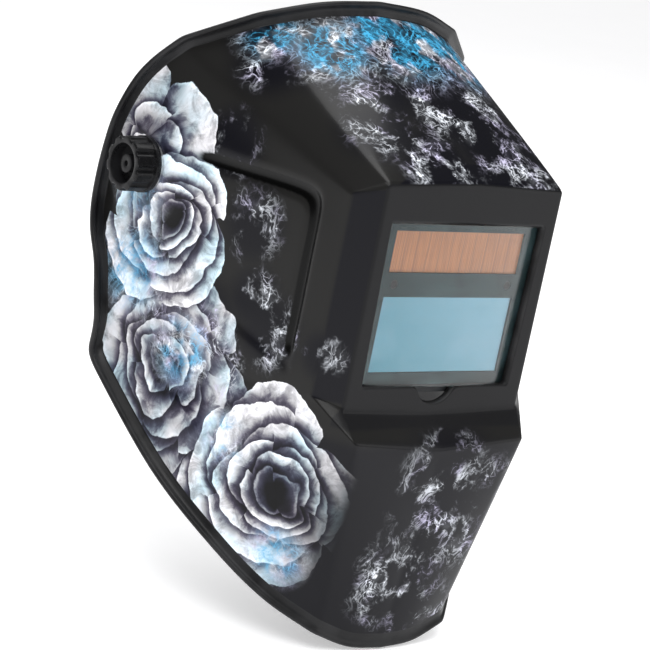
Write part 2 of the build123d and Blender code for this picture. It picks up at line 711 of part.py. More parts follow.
def main():
    os.makedirs("parts", exist_ok=True)
    save("shell", make_shell())
    save("front_cover_lens", make_cover_lens())
    save("cartridge_frame", make_cartridge_frame())
    save("frame_screws", frame_screws())
    save("retaining_wires", make_retaining_wires())
    save("cartridge_front", make_cartridge_front())
    save("cartridge_back", make_cartridge_back())
    save("filter_glass", make_filter_glass())
    save("solar_cell", make_solar_cell())
    save("arc_sensors", sensor_rods(SENSOR_R - 0.1, CARTRIDGE_FRONT_Y + SENSOR_RECESS, BOARD_Y))
    save("circuit_board", make_circuit_board())
    save("coin_cell", make_coin_cell())
    save("battery_cap", make_battery_cap())
    save("mode_switch", make_mode_switch())
    save("inner_cover_lens", make_inner_lens())
    for name, x in DIAL_XS.items():
        save(name, make_dial(x))

    pivot_pieces = {
        "rail": make_rail(),
        "slider": make_slider(),
        "pivot_bolt": make_pivot_bolt(),
        "tilt_plate": make_tilt_plate(),
        "friction_washer": make_friction_washer(),
        "pivot_bush": make_pivot_bush(),
        "outer_washer": make_outer_washer(),
        "tension_knob": make_tension_knob(),
        "knob_insert": make_knob_insert(),
    }
    for name, piece in pivot_pieces.items():
        save(f"right_{name}", piece)
        save(f"left_{name}", mirrored(piece))
    rivets = rail_rivets()
    save("rail_rivets", group([rivets, mirrored(rivets)]))

    save("headband", make_headband())
    save("left_crown_strap", make_left_strap())
    save("right_crown_strap", make_right_strap())
    save("strap_studs", tilted(strap_studs()))
    save("sweatband", make_sweatband())
    save("nape_pad", make_nape_pad())
    left_rack = make_left_rack()
    save("left_rack", tilted(left_rack))
    save("right_rack", tilted(Rot(0, 180, 0) * left_rack))
    pinion = make_pinion() - ratchet_screw_blank()
    save("pinion", tilted(pinion))
    save("ratchet_inner", tilted(make_ratchet_inner()))
    save("ratchet_outer", tilted(make_ratchet_outer()))
    save("ratchet_knob", tilted(make_ratchet_knob()))
    save("ratchet_screw", tilted(make_ratchet_screw()))


if __name__ == "__main__":
    main()
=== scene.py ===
from math import cos, pi, radians, sin

import bmesh
import bpy
import numpy as np
from mathutils import Matrix, Vector


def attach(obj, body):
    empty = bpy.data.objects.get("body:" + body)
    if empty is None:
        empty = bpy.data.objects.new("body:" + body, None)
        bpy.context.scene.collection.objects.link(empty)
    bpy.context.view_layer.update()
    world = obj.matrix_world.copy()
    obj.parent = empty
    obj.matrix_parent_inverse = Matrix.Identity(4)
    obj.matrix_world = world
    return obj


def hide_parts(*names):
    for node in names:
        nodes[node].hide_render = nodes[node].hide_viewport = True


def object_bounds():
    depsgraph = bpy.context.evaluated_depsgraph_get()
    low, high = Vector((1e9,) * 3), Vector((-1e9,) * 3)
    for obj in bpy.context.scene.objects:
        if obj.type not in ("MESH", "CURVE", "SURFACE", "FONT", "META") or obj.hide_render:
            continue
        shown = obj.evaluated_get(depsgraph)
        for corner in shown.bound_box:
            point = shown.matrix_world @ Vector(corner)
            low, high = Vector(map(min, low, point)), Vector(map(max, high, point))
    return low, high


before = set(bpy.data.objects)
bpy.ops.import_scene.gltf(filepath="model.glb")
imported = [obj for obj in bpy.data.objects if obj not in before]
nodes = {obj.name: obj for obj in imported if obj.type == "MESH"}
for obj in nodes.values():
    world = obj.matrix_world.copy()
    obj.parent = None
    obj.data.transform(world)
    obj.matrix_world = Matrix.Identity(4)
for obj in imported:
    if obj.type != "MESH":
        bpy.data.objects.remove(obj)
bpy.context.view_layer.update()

# The looks of an auto-darkening welding helmet: a printed glossy shell, its window and
# cartridge, the tension knobs and the padded headgear. Shapes are worked out in millimetres,
# in the frame's axes, and MM turns them into Blender's metres.
MM = 0.001


# ---- materials: a small language for node trees --------------------------------------
class Field:
    """A number at every point of a surface, made by the nodes of one material."""

    def __init__(self, graph, socket):
        self.graph = graph
        self.socket = socket

    def math(self, operation, *others):
        return self.graph.math(operation, self, *others)

    def __add__(self, other):
        return self.math("ADD", other)

    def __sub__(self, other):
        return self.math("SUBTRACT", other)

    def __rsub__(self, other):
        return self.graph.math("SUBTRACT", other, self)

    def __mul__(self, other):
        return self.math("MULTIPLY", other)

    def __truediv__(self, other):
        return self.math("DIVIDE", other)

    def __pow__(self, other):
        return self.math("POWER", other)

    __radd__ = __add__
    __rmul__ = __mul__

    def max(self, other):
        return self.math("MAXIMUM", other)

    def min(self, other):
        return self.math("MINIMUM", other)

    def size(self):
        return self.math("ABSOLUTE")

    def fraction(self):
        return self.math("FRACT")

    def step(self, low, high, from_value=0.0, to_value=1.0):
        """A smooth rise from from_value at low to to_value at high."""
        node = self.graph.node("MapRange", interpolation_type="SMOOTHSTEP")
        for name, value in (
            ("Value", self),
            ("From Min", low),
            ("From Max", high),
            ("To Min", from_value),
            ("To Max", to_value),
        ):
            self.graph.feed(node.inputs[name], value)
        return Field(self.graph, node.outputs["Result"])


class Graph:
    """One material: its principled shader and the nodes that feed it, in millimetres."""

    def __init__(self, name, **constants):
        self.material = bpy.data.materials.new(name)
        self.material.use_nodes = True
        self.tree = self.material.node_tree
        self.shader = self.tree.nodes["Principled BSDF"]
        place = self.node("TexCoord").outputs["Object"]
        self.place = self.vector("SCALE", Field(self, place), Scale=1 / MM)
        self.x, self.y, self.z = self.split(self.place)
        for key, value in constants.items():
            self.set(key.replace("_", " "), value)

    def node(self, kind, **settings):
        node = self.tree.nodes.new("ShaderNode" + kind)
        for key, value in settings.items():
            setattr(node, key, value)
        return node

    def feed(self, socket, value):
        if isinstance(value, Field):
            self.tree.links.new(self.converted(value, socket.type), socket)
        elif isinstance(value, (tuple, list, Vector)):
            socket.default_value = (*value, 1) if socket.type == "RGBA" else tuple(value)
        else:
            socket.default_value = value

    def converted(self, value, kind):
        """The field's socket, turned into or out of a colour by nodes of its own."""
        given = value.socket.type
        if given == kind or "RGBA" not in (given, kind):
            return value.socket
        if kind == "RGBA":
            parts = [value] * 3 if given == "VALUE" else self.split(value)
            node = self.node("CombineColor")
        else:
            apart = self.node("SeparateColor")
            self.tree.links.new(value.socket, apart.inputs[0])
            parts = [Field(self, output) for output in apart.outputs]
            node = self.node("CombineXYZ")
        for socket, part in zip(node.inputs, parts):
            self.tree.links.new(part.socket, socket)
        return node.outputs[0]

    def set(self, key, value):
        """Feed one of the shader's own sockets, named without regard to capitals."""
        found = [s for s in self.shader.inputs if s.name.lower() == key.lower()]
        self.feed(found[0], value)

    def math(self, operation, *values):
        node = self.node("Math", operation=operation)
        for socket, value in zip(node.inputs, values):
            self.feed(socket, value)
        return Field(self, node.outputs[0])

    def vector(self, operation, *values, **named):
        node = self.node("VectorMath", operation=operation)
        for socket, value in zip(node.inputs, values):
            self.feed(socket, value)
        for key, value in named.items():
            self.feed(node.inputs[key], value)
        found = "Value" if operation in ("DOT_PRODUCT", "DISTANCE", "LENGTH") else "Vector"
        return Field(self, node.outputs[found])

    def split(self, vector):
        node = self.node("SeparateXYZ")
        self.feed(node.inputs[0], vector)
        return [Field(self, out) for out in node.outputs]

    def join(self, x, y, z):
        node = self.node("CombineXYZ")
        for socket, value in zip(node.inputs, (x, y, z)):
            self.feed(socket, value)
        return Field(self, node.outputs[0])

    def clouds(self, size, place=None, detail=2.0, roughness=0.5, distortion=0.0, shift=0.0):
        """A noise node with lumps of about the given size."""
        moved = self.vector("ADD", place or self.place, (shift, shift * 0.7, shift * 1.3))
        node = self.node("TexNoise")
        self.feed(node.inputs["Vector"], moved)
        self.feed(node.inputs["Scale"], 1 / size)
        self.feed(node.inputs["Detail"], detail)
        self.feed(node.inputs["Roughness"], roughness)
        self.feed(node.inputs["Distortion"], distortion)
        return node

    def noise(self, size, place=None, **look):
        """Cloudy variation from 0 to 1 with lumps of about the given size."""
        return Field(self, self.clouds(size, place, **look).outputs["Fac"])

    def cell_borders(self, size, place):
        """How far each point is from the border of its irregular cell."""
        node = self.node("TexVoronoi", feature="DISTANCE_TO_EDGE")
        self.feed(node.inputs["Vector"], place)
        self.feed(node.inputs["Scale"], 1 / size)
        return Field(self, node.outputs["Distance"])

    def warped(self, amount, size, place=None, shift=0.0):
        """The place, pushed about by cloudy noise of the given size."""
        place = place or self.place
        cloud = self.clouds(size, place, detail=3.0, shift=shift)
        push = self.vector("SUBTRACT", Field(self, cloud.outputs["Color"]), (0.5, 0.5, 0.5))
        return self.vector("ADD", place, self.vector("SCALE", push, Scale=amount))

    def mix(self, factor, first, second, blend="MIX"):
        node = self.node("Mix", data_type="RGBA", blend_type=blend)
        for index, value in ((0, factor), (6, first), (7, second)):
            self.feed(node.inputs[index], value)
        return Field(self, node.outputs[2])

    def bump(self, height, depth, strength):
        """Feed the shader a relief: height runs from 0 to 1 and depth is in millimetres."""
        node = self.node("Bump")
        self.feed(node.inputs["Height"], height)
        self.feed(node.inputs["Distance"], depth * MM)
        self.feed(node.inputs["Strength"], strength)
        self.set("Normal", Field(self, node.outputs[0]))

    def attribute(self, name):
        node = self.node("Attribute", attribute_name=name)
        return Field(self, node.outputs["Fac"])


# ---- the shell's outlines --------------------------------------------------------------
# The right half of each outline runs from the crown round to the chin, in five sectors:
# crown, brow bevel, side, cheek and chin.
PANEL_Y = -144
PANEL_OUTLINE = [
    (0, PANEL_Y, 31.5),
    (62, PANEL_Y, 29.5),
    (62, PANEL_Y, 27.5),
    (62, PANEL_Y, -91),
    (62, PANEL_Y, -93),
    (0, PANEL_Y, -95),
]
BEVEL_OUTLINE = [
    (0, -142, 33.5),
    (62, -142, 31.5),
    (75, -131, 22),
    (75, -131, -88),
    (60, -157, -107),
    (0, -158, -111.5),
]
RIM_STRETCHES = [
    [(0, -37, 98), (35, -34, 94.6), (67, -24, 85)],
    [(67, -24, 85), (97, -3, 66)],
    [
        (97, -3, 66),
        (102, 13, 49.5),
        (106.5, 21, 34),
        (109.3, 28, 10),
        (110, 30, -22),
        (110, 27, -42),
        (110, 17.5, -59),
        (109.5, 13, -76),
        (108.7, 10, -90),
        (108, 12, -106),
    ],
    [
        (108, 12, -106),
        (107, 3, -115),
        (99.7, -51, -152.5),
        (82, -90, -181.5),
        (65, -118, -200.5),
        (45, -140, -213),
    ],
    [(45, -140, -213), (22.5, -143, -221), (0, -144, -223)],
]
STATIONS = (46, 22, 96, 72, 36)
CURVE_STEPS = 24
PANEL_ROWS, BEVEL_ROWS, WALL_ROWS = 7, 8, 106
PANEL_GATHER, BEVEL_GATHER, WALL_GATHER = 0.9, 0.7, 0.6
LINING_STEP, LINING_SETBACK = 5, 3.1
WINDOW_TOP, WINDOW_BOTTOM = 10.5, -80.2
WINDOW_TOP_HALF, WINDOW_BOTTOM_HALF = 55, 52.5
WINDOW_CORNER = 2.5
THUMB_R, THUMB_Z, THUMB_POINTS = 14.1, -76.1, 16
OPENING_MID_Z = -40
CAVITY_CENTRE = np.array((0, 0, -60))
CAVITY_SCALE = 0.974
SIDE_OUT = np.array((0.977, -0.212, 0.0))
SIDE_START_X = (60, 70)
# The flange's section: how far outward of the rim and how far forward, all round its bead.
FLANGE_SECTION = [
    (0.8, 0.1),
    (2.0, -0.4),
    (3.6, -0.6),
    (4.8, -0.3),
    (5.4, 0.5),
    (6.2, 1.2),
    (7.2, 1.2),
    (7.9, 0.5),
    (8.1, -0.7),
    (7.9, -2.1),
    (7.2, -3.0),
    (5.0, -3.2),
    (1.0, -3.1),
]
PIVOT_FACE_X, PIVOT_CUP_X = 108, 102.5
PIVOT_CUP_EDGE, PIVOT_BOSS_EDGE = (24, 18), (32, 18)
PIVOT_SIDE_X, NOWHERE_NEAR = 80, 999.0
WALL_BULGE = 1.6
RECESS_CORNERS = [(-8, 17), (-115.5, 20), (-116, -84), (-48, -62), (-8, -49)]
RECESS_DEPTH, RECESS_ROUND, RECESS_SLOPE = 1.2, 5, 6
RECESS_END_Y = (-22, -46)
GROOVE_DEPTH, GROOVE_INSET, GROOVE_HALF = 1.8, 4.2, 3.0
GROOVE_END = (8, 16)
JAW_LINE = [(-86, -139), (-62, -120), (-37, -108), (-18, -97)]
JAW_STEP = 1.5
JAW_EDGE_Z, JAW_FOOT_Z = (2.2, -2.2), (-34, -6)
JAW_FRONT_Y, JAW_BACK_Y = (-96, -78), (-8, -24)


def evenly(line, count):
    """Points evenly spaced by length along a chain of points."""
    line = np.asarray(line, float)
    lengths = np.linalg.norm(np.diff(line, axis=0), axis=1)
    travelled = np.concatenate([[0], np.cumsum(lengths)])
    wanted = np.linspace(0, travelled[-1], count)
    return np.stack([np.interp(wanted, travelled, line[:, k]) for k in range(3)], axis=1)


def smooth_line(points, count):
    """Points evenly spaced along a smooth curve through a few points."""
    p = np.asarray(points, float)
    if len(p) == 2:
        return evenly(p, count)
    p = np.vstack([2 * p[0] - p[1], p, 2 * p[-1] - p[-2]])
    fine = []
    for a, b, c, d in zip(p, p[1:], p[2:], p[3:]):
        t = np.linspace(0, 1, CURVE_STEPS, endpoint=False)[:, None]
        fine.append(b + (c - a) / 2 * t + (a - 2.5 * b + 2 * c - d / 2) * t**2
                    + (1.5 * (b - c) + (d - a) / 2) * t**3)
    return evenly(np.vstack([*fine, p[-2:-1]]), count)


def whole_loop(stretches):
    """One closed loop of stations from the five stretches of its right half."""
    half = np.vstack([stretches[0]] + [stretch[1:] for stretch in stretches[1:]])
    left = half[-2:0:-1] * (-1, 1, 1)
    return np.vstack([half, left])


def edge_stretches(outline):
    return [evenly(outline[i : i + 2], n + 1) for i, n in enumerate(STATIONS)]


def quarter(centre_x, centre_z, start, count):
    """A quarter circle of the window's corner, turning clockwise from the start angle."""
    turns = np.radians(np.linspace(start, start - 90, count))
    x = centre_x + WINDOW_CORNER * np.cos(turns)
    z = centre_z + WINDOW_CORNER * np.sin(turns)
    return np.stack([x, np.full(count, PANEL_Y), z], axis=1)


def window_stretches():
    """The window's outline, with a thumb notch in the middle of its lower edge."""
    r, y = WINDOW_CORNER, PANEL_Y
    top_x, low_x = WINDOW_TOP_HALF - r, WINDOW_BOTTOM_HALF - r
    top = evenly([(0, y, WINDOW_TOP), (top_x, y, WINDOW_TOP)], STATIONS[0] + 1)
    first = quarter(top_x, WINDOW_TOP - r, 90, STATIONS[1] + 1)
    second = quarter(low_x, WINDOW_BOTTOM + r, 0, STATIONS[3] + 1)
    side = evenly([first[-1], second[0]], STATIONS[2] + 1)
    meet = np.arcsin((THUMB_Z - WINDOW_BOTTOM) / THUMB_R)
    turns = np.linspace(-meet, -pi / 2, THUMB_POINTS)
    notch = [(THUMB_R * cos(a), y, THUMB_Z + THUMB_R * sin(a)) for a in turns]
    bottom = evenly([second[-1], *notch], STATIONS[4] + 1)
    return [top, first, side, second, bottom]


def eased(count, gather):
    """Shares from 0 to 1, closer together at both ends."""
    t = np.linspace(0, 1, count + 1)
    return t - gather * np.sin(2 * pi * t) / (2 * pi)


def between(first, last, shares):
    return [first + (last - first) * t for t in shares]


def ramp(value, low, high):
    """A smooth rise from 0 at low to 1 at high."""
    t = np.clip((value - low) / (high - low), 0, 1)
    return t * t * (3 - 2 * t)


def edge_distances(y, z, corners):
    """How far inside each edge of a convex outline a point of the side view lies."""
    found = []
    for (y0, z0), (y1, z1) in zip(corners, corners[1:] + corners[:1]):
        run, rise = y1 - y0, z1 - z0
        length = np.hypot(run, rise)
        found.append(((y - y0) * rise - (z - z0) * run) / -length)
    return found


def side_relief(points):
    """How far the cheek wall stands out: a tapered recess with a groove, and a jaw step."""
    y, z = points[..., 1], points[..., 2]
    top, front, low, low_rear, _ = edge_distances(y, z, RECESS_CORNERS)
    upper = -np.log(np.exp(-top / RECESS_ROUND) + np.exp(-front / RECESS_ROUND)) * RECESS_ROUND
    lower = np.minimum(low, low_rear)
    fade = ramp(y, *RECESS_END_Y)
    pocket = ramp(upper, 0, GROOVE_INSET) * ramp(lower, 0, RECESS_SLOPE) * fade
    groove = np.exp(-(((upper - GROOVE_INSET) / GROOVE_HALF) ** 4))
    groove = groove * ramp(lower, *GROOVE_END) * fade
    line = np.interp(y, [p[0] for p in JAW_LINE], [p[1] for p in JAW_LINE])
    below = ramp(z - line, *JAW_EDGE_Z) * ramp(z - line, *JAW_FOOT_Z)
    ends = ramp(y, *JAW_FRONT_Y) * ramp(y, *JAW_BACK_Y)
    relief = below * ends * JAW_STEP - pocket * RECESS_DEPTH - groove * GROOVE_DEPTH
    return relief, groove


def grid_normals(grid):
    """Outward normals of a grid of rows by stations."""
    along = np.roll(grid, -1, axis=1) - np.roll(grid, 1, axis=1)
    across = np.gradient(grid, axis=0)
    normal = np.cross(along, across)
    return normal / np.maximum(np.linalg.norm(normal, axis=2, keepdims=True), 1e-9)


def softened(grid, times, axis):
    """Round every fold of a grid a little, along its stations (1) or its rows (0)."""
    for _ in range(times):
        if axis == 1:
            grid = (np.roll(grid, 1, axis=1) + 2 * grid + np.roll(grid, -1, axis=1)) / 4
        else:
            grid[1:-1] = (grid[:-2] + 2 * grid[1:-1] + grid[2:]) / 4
    return grid


def sector_shares():
    """Where each station of the loop lies within its own sector, from 0 to 1."""
    half = np.concatenate([[0]] + [np.linspace(0, 1, n + 1)[1:] for n in STATIONS])
    return np.concatenate([half, half[-2:0:-1]])


def pivot_distance(grid):
    """Distance from the pivots' axis on the two sides, and a large one between them."""
    reach = np.hypot(grid[..., 1], grid[..., 2])
    return np.where(np.abs(grid[..., 0]) > PIVOT_SIDE_X, reach, NOWHERE_NEAR)


def shell_grids():
    """The shell's outer surface with its flange, its lining, and where the groove gets painted
    shade.
    """
    window = whole_loop(window_stretches())
    panel = whole_loop(edge_stretches(PANEL_OUTLINE))
    bevel = whole_loop(edge_stretches(BEVEL_OUTLINE))
    rim = whole_loop([smooth_line(s, n + 1) for s, n in zip(RIM_STRETCHES, STATIONS)])

    rows = between(window, panel, eased(PANEL_ROWS, PANEL_GATHER))
    rows += between(panel, bevel, eased(BEVEL_ROWS, BEVEL_GATHER))[1:]
    rows += between(bevel, rim, eased(WALL_ROWS, WALL_GATHER))[1:]
    grid = np.stack(rows)
    first_wall = PANEL_ROWS + BEVEL_ROWS
    wall = grid[first_wall:]
    across = np.sin(pi * np.linspace(0, 1, len(wall)))[:, None]
    along = np.sin(pi * sector_shares())[None, :] ** 0.5
    wall += grid_normals(grid)[first_wall:] * (across * along * WALL_BULGE)[..., None]

    sign = np.sign(wall[..., :1])
    on_side = ramp(np.abs(wall[..., 0]), *SIDE_START_X)
    relief, groove = side_relief(wall)
    wall += sign ** np.array((1, 0, 0)) * SIDE_OUT * (relief * on_side)[..., None]
    # Painted shade: the groove's mask, kept to darken its colour as the shade that falls in it.
    dark = np.zeros(grid.shape[:2])
    dark[first_wall:] = groove * on_side

    boss = ramp(pivot_distance(wall), *PIVOT_BOSS_EDGE)
    wall[..., 0] += (sign[..., 0] * PIVOT_FACE_X - wall[..., 0]) * boss
    grid = softened(softened(grid, 3, axis=1), 2, axis=0)

    flat_rim = grid[-1].copy()
    outward = (flat_rim - (0, 0, OPENING_MID_Z)) * (1, 0, 1)
    outward /= np.linalg.norm(outward, axis=1, keepdims=True)
    flange = [flat_rim + outward * out + np.array((0, -fore, 0)) for out, fore in FLANGE_SECTION]
    flange = softened(np.stack([flat_rim, *flange]), 1, axis=0)[1:]

    lining = CAVITY_CENTRE + (grid[::-LINING_STEP] - CAVITY_CENTRE) * CAVITY_SCALE
    window_back = CAVITY_CENTRE + (grid[:1] - CAVITY_CENTRE) * CAVITY_SCALE
    lining = np.vstack([lining, window_back])
    lining[0] += (0, LINING_SETBACK, 0)
    cup = ramp(pivot_distance(lining), *PIVOT_CUP_EDGE)
    lining[..., 0] += (np.sign(lining[..., 0]) * PIVOT_CUP_X - lining[..., 0]) * cup
    return grid, flange, lining, dark


def mesh_object(name, points, faces, materials):
    """A smooth-shaded piece from millimetre points."""
    mesh = bpy.data.meshes.new(name)
    mesh.from_pydata((np.asarray(points) * MM).tolist(), [], faces)
    for material in materials:
        mesh.materials.append(material)
    mesh.shade_smooth()
    obj = bpy.data.objects.new(name, mesh)
    bpy.context.scene.collection.objects.link(obj)
    return obj


def grid_faces(rows, columns, close_rows=False):
    """Four-sided faces between the rows of a grid whose columns close into a loop."""
    faces = []
    for i in range(rows if close_rows else rows - 1):
        for j in range(columns):
            k = (j + 1) % columns
            i2 = (i + 1) % rows
            faces.append((i * columns + j, i2 * columns + j, i2 * columns + k, i * columns + k))
    return faces


def make_shell(printed, edge, plain):
    """The whole moulding as one closed skin: outside, flange bead and lining."""
    grid, flange, lining, dark = shell_grids()
    rows = np.concatenate([grid, flange, lining])
    columns = rows.shape[1]
    faces = grid_faces(len(rows), columns, close_rows=True)
    materials = [printed, edge, plain]
    shell = mesh_object("shell_skin", rows.reshape(-1, 3), faces, materials)
    print_end, edge_end = len(grid) - 2, len(grid) + len(flange)
    row_material = np.full(len(rows), materials.index(plain), np.int32)
    row_material[:print_end] = materials.index(printed)
    row_material[print_end:edge_end] = materials.index(edge)
    shell.data.polygons.foreach_set("material_index", np.repeat(row_material, columns))
    # The groove's painted shade goes to the print material as a point attribute.
    painted_groove_shade = np.zeros(rows.shape[:2])
    painted_groove_shade[: len(grid)] = dark
    groove = shell.data.attributes.new("groove", "FLOAT", "POINT")
    groove.data.foreach_set("value", painted_groove_shade.ravel())
    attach(shell, "helmet")
    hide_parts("shell")


# ---- the shell's print: roses of our own design, in drifting smoke ---------------------
# Each ring of petals: its share of the rose's radius, how many petals, the turn of the
# first, how deep the gaps between them are, and its darkest and brightest tone.
PETAL_RINGS = [
    (1.00, 4, 0.10, 0.20, 0.50, 0.95),
    (0.80, 3, 0.66, 0.16, 0.34, 1.00),
    (0.61, 3, 0.30, 0.18, 0.03, 0.80),
    (0.48, 3, 0.85, 0.20, 0.02, 1.00),
    (0.35, 2, 0.40, 0.20, 0.01, 1.00),
    (0.22, 2, 0.10, 0.25, 0.004, 0.16),
]
BROAD_PETALS = [(1.00, 3, 0.35, 0.20, 0.50, 0.85), (0.60, 3, 0.05, 0.26, 0.25, 0.75)]
# The left cheek's roses from the lowest layer up: where each one's centre lies, which way
# it faces, its radius, its turn, how far its heart is off centre, and its rings of petals.
LOW_ROSE = ((-84, -88, -164), (-0.8, -0.4, -0.45), 46, 0.2, (12, 10), BROAD_PETALS)
CROWN_ROSE = ((-101, 0, 18), (-0.98, -0.2, 0.1), 36, 0.0, (4, -12), BROAD_PETALS)
BACK_ROSE = ((-99, -40, -106), (-0.9, -0.35, -0.25), 54, 0.3, (6, 6), PETAL_RINGS)
UPPER_ROSE = ((-100, -16, -27), (-0.98, -0.2, 0.05), 46, 0.05, (-3, 6), PETAL_RINGS)
LOWER_ROSE = ((-72, -115, -144), (-0.72, -0.5, -0.48), 52, 0.55, (-4, 2), PETAL_RINGS)
ROSES = (LOW_ROSE, CROWN_ROSE, BACK_ROSE, UPPER_ROSE, LOWER_ROSE)
# A rose is painted on what lies this near to its own plane, and nothing beyond.
ROSE_REACH = (45, 30)


def tangents(normal):
    """Two directions along a surface: sideways and upward."""
    normal = Vector(normal).normalized()
    up = (Vector((0, 0, 1)) - normal * normal.z).normalized()
    return normal.cross(up), up


def rose(g, place, canvas, centre, normal, radius, turn, heart, rings):
    """Paint a rose over the canvas tone. Returns the new tone and where the rose lies."""
    side, up = tangents(normal)
    from_centre = g.vector("SUBTRACT", place, centre)
    u = g.vector("DOT_PRODUCT", from_centre, side)
    v = g.vector("DOT_PRODUCT", from_centre, up)
    out = g.vector("DOT_PRODUCT", from_centre, Vector(normal).normalized())
    near = out.size().step(*ROSE_REACH)
    cover = None
    for share, petals, start, gap, dark, bright in rings:
        du = u - heart[0] * (1 - share)
        dv = v - heart[1] * (1 - share)
        reach = (du * du + dv * dv) ** 0.5
        angle = g.math("ARCTAN2", dv, du) / (2 * pi)
        petal = (angle * petals + (start + turn + 8)).fraction()
        lobe = (petal - 0.5) * 2
        edge = 1.0 - (lobe.size() ** 2.4) * gap + (petal - 0.5) * 0.16
        depth = edge * (radius * share) - reach
        streaks = g.noise(1.0, g.join(angle * 26 * petals, reach * 0.07, share * 50), detail=4.0)
        body = (reach / (radius * share)).step(0.45, 0.98, dark, bright)
        rim = depth.step(2.2, 0.5, 0.0, 0.2)
        overlap = petal.step(0.0, 0.34, 0.3, 1.0) * petal.step(1.0, 0.84, 0.8, 1.0)
        tone = (body * overlap + rim) * (streaks * 0.5 + 0.75)
        shadow = depth.step(-radius * 0.17, 0.0, 1.0, 0.22)
        inside = depth.step(-0.3, 0.3) * near
        if cover is None:
            cover = inside
            shadow = depth.step(-radius * 0.12, 0.0, 1.0, 0.4)
        canvas = canvas * (1.0 - (1.0 - shadow) * near)
        canvas = canvas + (tone - canvas) * inside
    return canvas, cover


def wisps(g, size, shift, sharp):
    """Soft curling threads where cloudy noise crosses its middle value."""
    place = g.warped(size * 0.55, size * 0.8, shift=shift)
    cloud = g.noise(size, place, detail=5.0, roughness=0.58, distortion=1.6, shift=shift)
    return (1.0 - (cloud - 0.5).size() * sharp).max(0.0)


def strands(g, size, shift, lines, thin):
    """Bundles of fine flowing threads, like smoke seen edge on, in broken patches."""
    place = g.warped(size * 0.25, size * 0.22, shift=shift)
    place = g.warped(size * 0.8, size * 0.7, place, shift=shift)
    flow = g.noise(size, place, detail=1.5, roughness=0.45, shift=shift + 9)
    ridge = 1.0 - ((flow * lines).fraction() * 2 - 1.0).size()
    patch = g.noise(size * 0.5, place, detail=3.0, shift=shift + 33).step(0.44, 0.66)
    return (ridge ** thin) * patch


def region(g, place, spots, spread=1.0):
    """Full strength near any of the spots, falling to nothing at each one's radius."""
    total = None
    for centre, radius in spots:
        reach = radius * spread
        near = g.vector("DISTANCE", place, centre).step(reach, reach * 0.35)
        total = near if total is None else total.max(near)
    return total


BLUE_SMOKE = [
    ((6, -52, 92), 50),
    ((48, -50, 86), 42),
    ((-44, -58, 86), 34),
    ((-70, -34, 88), 28),
]
WHITE_SMOKE = [
    ((-78, -48, 76), 26),
    ((-54, -64, 80), 26),
    ((-34, -84, 74), 34),
    ((20, -92, 70), 52),
    ((-46, -112, 52), 26),
    ((36, -122, 46), 44),
    ((-22, -132, 38), 30),
    ((8, -153, -134), 40),
    ((40, -152, -150), 40),
    ((-2, -148, -186), 40),
    ((22, -144, -214), 30),
]
CHEEK_SMOKE = [
    ((-82, -98, -64), 26),
    ((-84, -84, -50), 22),
    ((-73, -132, -66), 16),
    ((-88, -74, -12), 25),
    ((-94, -50, 26), 24),
    ((-92, -58, -72), 28),
    ((-96, -34, -78), 24),
    ((-92, -66, -92), 28),
]
GLOW_SMOKE = [
    ((-100, 0, -58), 34),
    ((-101, 4, -10), 28),
    ((-96, -44, -92), 26),
    ((-70, -122, -182), 24),
    ((-84, -84, -128), 20),
]
DARK_GROUND = (0.0035, 0.0035, 0.006)
GREY_GROUND = (0.0115, 0.0112, 0.0108)
# Painted shade: the near-black colour of the shade in the cheek recess's groove.
GROOVE_SHADE_COLOUR = (0.0005, 0.0005, 0.0005)
PANEL_BLACK = (0.007, 0.007, 0.008)
# The front bevels, painted near-black as their shade, lie ahead of BEVEL_BACK_Y, above
# BEVEL_LOW_Z and below a line that climbs from the brow's corner towards the middle. The
# panel is plain above PLAIN_LOW_Z.
BEVEL_BACK_Y, BEVEL_LOW_Z = -131.5, (-90, -88)
BROW_CORNER_X, BROW_CORNER_Z, BROW_SLOPE = 75, 22, 0.42
PLAIN_BACK_Y, PLAIN_LOW_Z = -143.2, -101
CHIN_TOP_Z = (-104, -112)


def painted_roses(g, left):
    """The petals' tone, where they lie, and where they keep the smoke off."""
    place = g.warped(26.0, 44.0, left, shift=43)
    place = g.warped(3.0, 7.0, place, shift=90)
    tone = g.noise(46, detail=4.0, shift=11).step(0.3, 0.75, 0.0, 0.02)
    covers = []
    for shape in ROSES:
        tone, cover = rose(g, place, tone, *shape)
        covers.append(cover)
    low, crown, back, upper, lower = covers
    front_roses = upper.max(lower)
    tone = tone * (1.0 - back * (1.0 - front_roses) * 0.3)
    cover = low.max(crown).max(back).max(front_roses)
    # The roses end at the front bevels, but run on beneath the chin's step.
    fade = g.x.size().step(50, 76).max(g.z.step(-104, -96))
    blots = g.noise(12, left, detail=6.0, roughness=0.66, distortion=0.6, shift=5)
    return tone * blots.step(0.34, 0.62, 0.42, 1.12), cover * fade, crown.max(front_roses)


def ground_colour(g, left):
    """Near-black blue under the smoke and on the chin, and as painted shade on the front bevels;
    warm grey elsewhere.
    """
    smoky = region(g, left, CHEEK_SMOKE, 1.1)
    smoky = smoky.max(region(g, g.place, WHITE_SMOKE + BLUE_SMOKE, 1.25))
    chin = g.z.step(*CHIN_TOP_Z)
    # Painted shade: the front bevels face away from the light and get the near-black ground.
    bevel = (g.y - BEVEL_BACK_Y).step(1, -1) * g.z.step(*BEVEL_LOW_Z)
    brow = g.z - BROW_CORNER_Z - (BROW_CORNER_X - g.x.size()) * BROW_SLOPE
    bevel = bevel * brow.step(0.6, -0.6)
    return g.mix(smoky.max(chin * 0.9).max(bevel).min(1.0), GREY_GROUND, DARK_GROUND)


